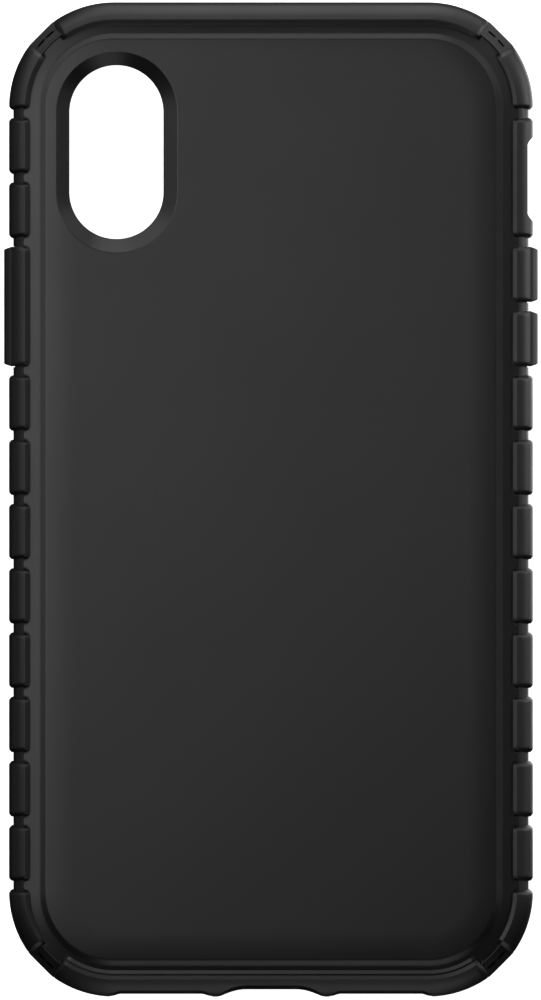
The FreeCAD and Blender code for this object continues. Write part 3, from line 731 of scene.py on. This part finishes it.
def bottom_holes():
    """Cutters for the port and the speakers."""
    return [wall_hole(*PORT_HOLE, 0, "bottom"), wall_hole(*SPEAKER_HOLE, -SPEAKER_X, "bottom"),
            wall_hole(*SPEAKER_HOLE, SPEAKER_X, "bottom")]


def build_blocks():
    for node, (start, end, slopes) in block_spans().items():
        piece = sweep(node + "_skin", end_rows(start, end, block_section, slopes, widening(node)))
        if node == "mute_switch_surround":
            cut(piece, [mute_scoop()])
            cut(piece, [wall_hole(*MUTE_HOLE, MUTE_Y, "right")])
        if node == "bottom_bumper":
            cut(piece, [port_dish()])
            cut(piece, [speaker_dish(-SPEAKER_X), speaker_dish(SPEAKER_X)])
            cut(piece, bottom_holes())
        finish_piece(piece, "case", "bumper_rubber", [node])
    for node, (start, end, slopes) in ridge_spans().items():
        piece = sweep(node + "_skin", end_rows(start, end, ridge_section, slopes))
        finish_piece(piece, "case", "bumper_rubber", [node])


def build_band():
    band = ring("bumper_band_skin", band_section())
    cut(band, [mute_scoop()] + corner_slots())
    cut(band, [port_dish()])
    cut(band, bottom_holes() + [wall_hole(*MUTE_HOLE, MUTE_Y, "right")])
    for button in BUTTONS:
        for cutter in button_cutters(button):
            cut(band, [cutter])
    finish_piece(band, "case", "bumper_rubber", ["bumper_band"])


def build_webs():
    reach = CORNER_GAP * CORNER_RADIUS + WEB_OVERLAP
    section = web_section()
    for corner, where in enumerate(["top_right", "top_left", "bottom_left", "bottom_right"]):
        middle = corner_middle(corner)
        rows = [(s, section) for s in stops(middle - reach, middle + reach)]
        web = sweep(where + "_corner_web", rows)
        flatten_facet(web, corner)
        cut(web, corner_slots())
        finish_piece(web, "case", "bumper_rubber")


def flatten_facet(web, corner):
    """Presses the web's outermost points onto the flat of its corner."""
    centre, facing = station(corner_middle(corner))
    normal = Vector((math.cos(facing), math.sin(facing)))
    limit = (centre.dot(normal) + CORNER_RADIUS - FACET_CUT) * MM
    for vertex in web.data.vertices:
        over = vertex.co.xy.dot(normal) - limit
        if over > 0:
            vertex.co.xy -= normal * over


def moat(start, end, slopes, widen):
    """Cutter for a seam in the shoulder, which follows a block's plan outline at a distance."""
    start -= CORNER_LEAN * BEVEL_DEPTH * (slopes[0] == CORNER_SLOPE)
    end += CORNER_LEAN * BEVEL_DEPTH * (slopes[1] == CORNER_SLOPE)
    reach = BLOCK_CORNER + MOAT
    corner = BEVEL_DEPTH + widen - BLOCK_CORNER
    inner = {}
    steps = 8
    for k in range(steps + 1):
        turn = math.pi / 2 * k / steps
        along, depth = BLOCK_CORNER - reach * math.cos(turn), corner + reach * math.sin(turn)
        inner[start + along] = depth
        inner[end - along] = depth
    for s in stops(start + BLOCK_CORNER, end - BLOCK_CORNER):
        inner.setdefault(s, corner + reach)
    rows = []
    for s in sorted(inner):
        rows.append((s, [(-PAST, MOAT_FLOOR_Z), (inner[s], MOAT_FLOOR_Z),
                         (inner[s], CASE_HEIGHT + PAST), (-PAST, CASE_HEIGHT + PAST)]))
    return sweep("moat", rows)


def build_shell():
    shell = tray("rear_shell_skin", shell_section)
    spans = {**block_spans(), **ridge_spans()}
    cut(shell, [moat(*span, widening(node)) for node, span in spans.items()])
    cut(shell, [camera_cutter()])
    holes = bottom_holes() + [wall_hole(*MUTE_HOLE, MUTE_Y, "right")]
    for button in BUTTONS:
        holes += button_cutters(button, hollow=False)
    cut(shell, holes)
    finish_piece(shell, "case", "shell_polycarbonate", ["rear_shell"], SHELL_EDGE_ANGLE)


def build_liner():
    liner = tray("inner_liner_skin", liner_section)
    outline = stadium(CAMERA_WIDTH + LINER_WINDOW_CLEAR, CAMERA_LENGTH + LINER_WINDOW_CLEAR)
    cut(liner, [prism("window", outline, PHONE_BACK_Z - PAST, LINER_TOP_Z + PAST)])
    holes = bottom_holes() + [wall_hole(*MUTE_HOLE, MUTE_Y, "right")]
    for button in BUTTONS:
        holes += button_cutters(button, hollow=False)
    cut(liner, holes)
    cut(liner, honeycomb())
    finish_piece(liner, "case", "liner_rubber", ["inner_liner"])


def build_lip():
    lip = ring("front_lip_skin", lip_section())
    finish_piece(lip, "case", "bumper_rubber", ["front_lip"], LIP_EDGE_ANGLE)


def cap_section(draw_in):
    """Button cap's section, drawn in towards its back for the softened ends."""
    reach = BUTTON_ARC - BUTTON_PROUD
    radius = BUTTON_ARC - draw_in
    end = math.acos((reach - BUTTON_BACK) / radius)
    low = arc_points((reach, BUTTON_LOW_Z), radius, -end, 0, 9)
    high = arc_points((reach, BUTTON_HIGH_Z), radius, 0, end, 9)
    return low + high


def build_buttons():
    for button, (side, _, _) in BUTTONS.items():
        centre, length = button_span(button)
        middle = centre if side > 0 else PERIMETER / 2 - centre
        half = length / 2
        rows = []
        for t in CAP_OFFSETS:
            short = max(CAP_SOFT - t, 0)
            rows.append((half - t, CAP_SOFT - math.sqrt(CAP_SOFT ** 2 - short ** 2)))
        rows += [(-a, inset) for a, inset in rows[::-1]]
        rows = sorted(rows)
        loops = []
        for along, inset in rows:
            loop = []
            for depth, height in cap_section(inset):
                share = (BUTTON_BACK - depth) / (BUTTON_BACK + BUTTON_PROUD)
                lean = 1 - share * BUTTON_SLANT / half
                loop.append(place(middle + along * lean, depth, height))
            loops.append(loop)
        cap = loft(button + "_cap", loops)
        nub_half = length * NUB_SHARE / 2
        tip = side * (HALF_WIDTH - NUB_TIP)
        root = side * (HALF_WIDTH - BUTTON_BACK + NUB_ROOT)
        nub = prism("nub", box_outline(tip, root, centre - nub_half, centre + nub_half),
                    PHONE_MID_Z - NUB_HALF_HEIGHT, PHONE_MID_Z + NUB_HALF_HEIGHT)
        finish_piece(joined([cap, nub]), button + "_cap", "button_rubber", [button])


# ---- materials -------------------------------------------------------------------------------
BLACK = (0.007, 0.007, 0.0073)
CHARCOAL = (0.016, 0.016, 0.017)
TONE_SPREAD = 0.15                # share by which the grain lightens and darkens the colour
CLOUD_SCALE = 70                  # cloudiness of the gloss, per metre


def moulded_material(name, colour, roughness, grain_mm, grain_depth_mm, spread):
    """Moulded black plastic or rubber: fine grain, cloudy gloss, and a slight change of tone."""
    material = bpy.data.materials.new(name)
    material.use_nodes = True
    nodes, links = material.node_tree.nodes, material.node_tree.links
    shader = nodes["Principled BSDF"]
    shader.inputs["Specular IOR Level"].default_value = 0.5
    where = nodes.new("ShaderNodeTexCoord")

    grain = nodes.new("ShaderNodeTexNoise")
    grain.inputs["Scale"].default_value = 1 / (grain_mm * MM)
    grain.inputs["Detail"].default_value = 3
    grain.inputs["Roughness"].default_value = 0.6
    links.new(where.outputs["Object"], grain.inputs["Vector"])
    bump = nodes.new("ShaderNodeBump")
    bump.inputs["Strength"].default_value = 1
    bump.inputs["Distance"].default_value = grain_depth_mm * MM
    links.new(grain.outputs["Fac"], bump.inputs["Height"])
    links.new(bump.outputs["Normal"], shader.inputs["Normal"])

    cloud = nodes.new("ShaderNodeTexNoise")
    cloud.inputs["Scale"].default_value = CLOUD_SCALE
    cloud.inputs["Detail"].default_value = 4
    links.new(where.outputs["Object"], cloud.inputs["Vector"])
    gloss = nodes.new("ShaderNodeMapRange")
    gloss.inputs["From Min"].default_value = 0.3
    gloss.inputs["From Max"].default_value = 0.7
    gloss.inputs["To Min"].default_value = roughness - spread
    gloss.inputs["To Max"].default_value = roughness + spread
    links.new(cloud.outputs["Fac"], gloss.inputs["Value"])
    links.new(gloss.outputs["Result"], shader.inputs["Roughness"])

    tone = nodes.new("ShaderNodeValToRGB")
    for element, share in zip(tone.color_ramp.elements, (1 - TONE_SPREAD, 1 + TONE_SPREAD)):
        element.color = (*[c * share for c in colour], 1)
    links.new(grain.outputs["Fac"], tone.inputs["Fac"])
    links.new(tone.outputs["Color"], shader.inputs["Base Color"])
    return material


MATERIALS = {
    "shell_polycarbonate": moulded_material("shell_plastic", BLACK, 0.34, 0.22, 0.005, 0.02),
    "bumper_rubber": moulded_material("bumper_rubber", BLACK, 0.46, 0.18, 0.006, 0.03),
    "liner_rubber": moulded_material("liner_rubber", CHARCOAL, 0.6, 0.2, 0.008, 0.03),
    "button_rubber": moulded_material("button_rubber", BLACK, 0.46, 0.18, 0.006, 0.03),
}

build_shell()
build_liner()
build_band()
build_webs()
build_lip()
build_blocks()
build_buttons()


# ---- stage, light and camera -----------------------------------------------------------------
def floor_material():
    material = bpy.data.materials.new("pale_floor")
    material.use_nodes = True
    shader = material.node_tree.nodes["Principled BSDF"]
    shader.inputs["Base Color"].default_value = (0.9, 0.9, 0.9, 1)
    shader.inputs["Roughness"].default_value = 0.9
    shader.inputs["Emission Color"].default_value = (1, 1, 1, 1)
    shader.inputs["Emission Strength"].default_value = 1.1
    return material


def build_floor():
    """Pale floor just below the case. It neither lights the case nor shows in its gloss."""
    outline = box_outline(-FLOOR_HALF, FLOOR_HALF, -FLOOR_HALF, FLOOR_HALF)
    floor = mesh_object("floor", [(x, y, FLOOR_Z) for x, y in outline], [(0, 1, 2, 3)])
    floor.data.materials.append(floor_material())
    floor.visible_diffuse = False
    floor.visible_glossy = False
    floor.visible_shadow = False


SOFTBOX_SIZE = 0.25               # metres


def soft_light(name, azimuth, elevation, distance, watts):
    """Square soft box aimed at the case."""
    turn, lift = math.radians(azimuth), math.radians(elevation)
    spot = Vector((math.cos(turn) * math.cos(lift), math.sin(turn) * math.cos(lift), math.sin(lift)))
    data = bpy.data.lights.new(name, "AREA")
    data.shape = "SQUARE"
    data.size = SOFTBOX_SIZE
    data.energy = watts
    lamp = bpy.data.objects.new(name, data)
    lamp.location = spot * distance
    lamp.rotation_euler = (-spot).to_track_quat("-Z", "Y").to_euler()
    bpy.context.scene.collection.objects.link(lamp)


# Azimuth (degrees anticlockwise from +X), elevation (degrees), distance (metres) and watts.
LIGHTS = {
    "overhead": (130, 82, 0.5, 0.195),
    "left_key": (180, 62, 0.5, 0.28),
    "top_left_key": (135, 62, 0.5, 0.2),
    "right_soft": (0, 38, 0.4, 0.09),
    "top_right_soft": (45, 38, 0.4, 0.17),
    "left_soft": (165, 38, 0.4, 0.2),
    "top_low": (90, 18, 0.4, 0.36),
    "top_left_low": (128, 18, 0.4, 0.28),
    "bottom_low": (278, 18, 0.4, 0.19),
    "top_right_low": (45, 8, 0.4, 0.12),
    "left_rim": (180, -10, 0.5, 0.04),
    "bottom_rim": (270, -10, 0.5, 0.1),
    "right_rim": (15, -10, 0.5, 0.65),
    "top_right_rim": (60, -10, 0.5, 0.25),
    "top_rim": (90, -10, 0.5, 0.35),
    "under_right": (20, -60, 0.4, 0.62),
}


def build_stage():
    build_floor()
    for name, values in LIGHTS.items():
        soft_light(name, *values)
    world = bpy.data.worlds.new("studio")
    world.use_nodes = True
    world.node_tree.nodes["Background"].inputs["Strength"].default_value = 0.0
    bpy.context.scene.world = world
    bpy.context.scene.view_settings.view_transform = "Standard"


def build_camera():
    """Straight above the back, with the case filling the frame's height."""
    widest_z = (FLAT_LOW_Z + FLAT_HIGH_Z) / 2
    data = bpy.data.cameras.new("camera")
    data.sensor_fit = "VERTICAL"
    data.sensor_height = 24
    data.lens = data.sensor_height * (CAMERA_Z - widest_z) / VIEW_HEIGHT
    camera = bpy.data.objects.new("camera", data)
    camera.location = (VIEW_SHIFT * MM, VIEW_SHIFT * MM, CAMERA_Z * MM)
    bpy.context.scene.collection.objects.link(camera)
    bpy.context.scene.camera = camera


build_stage()
build_camera()
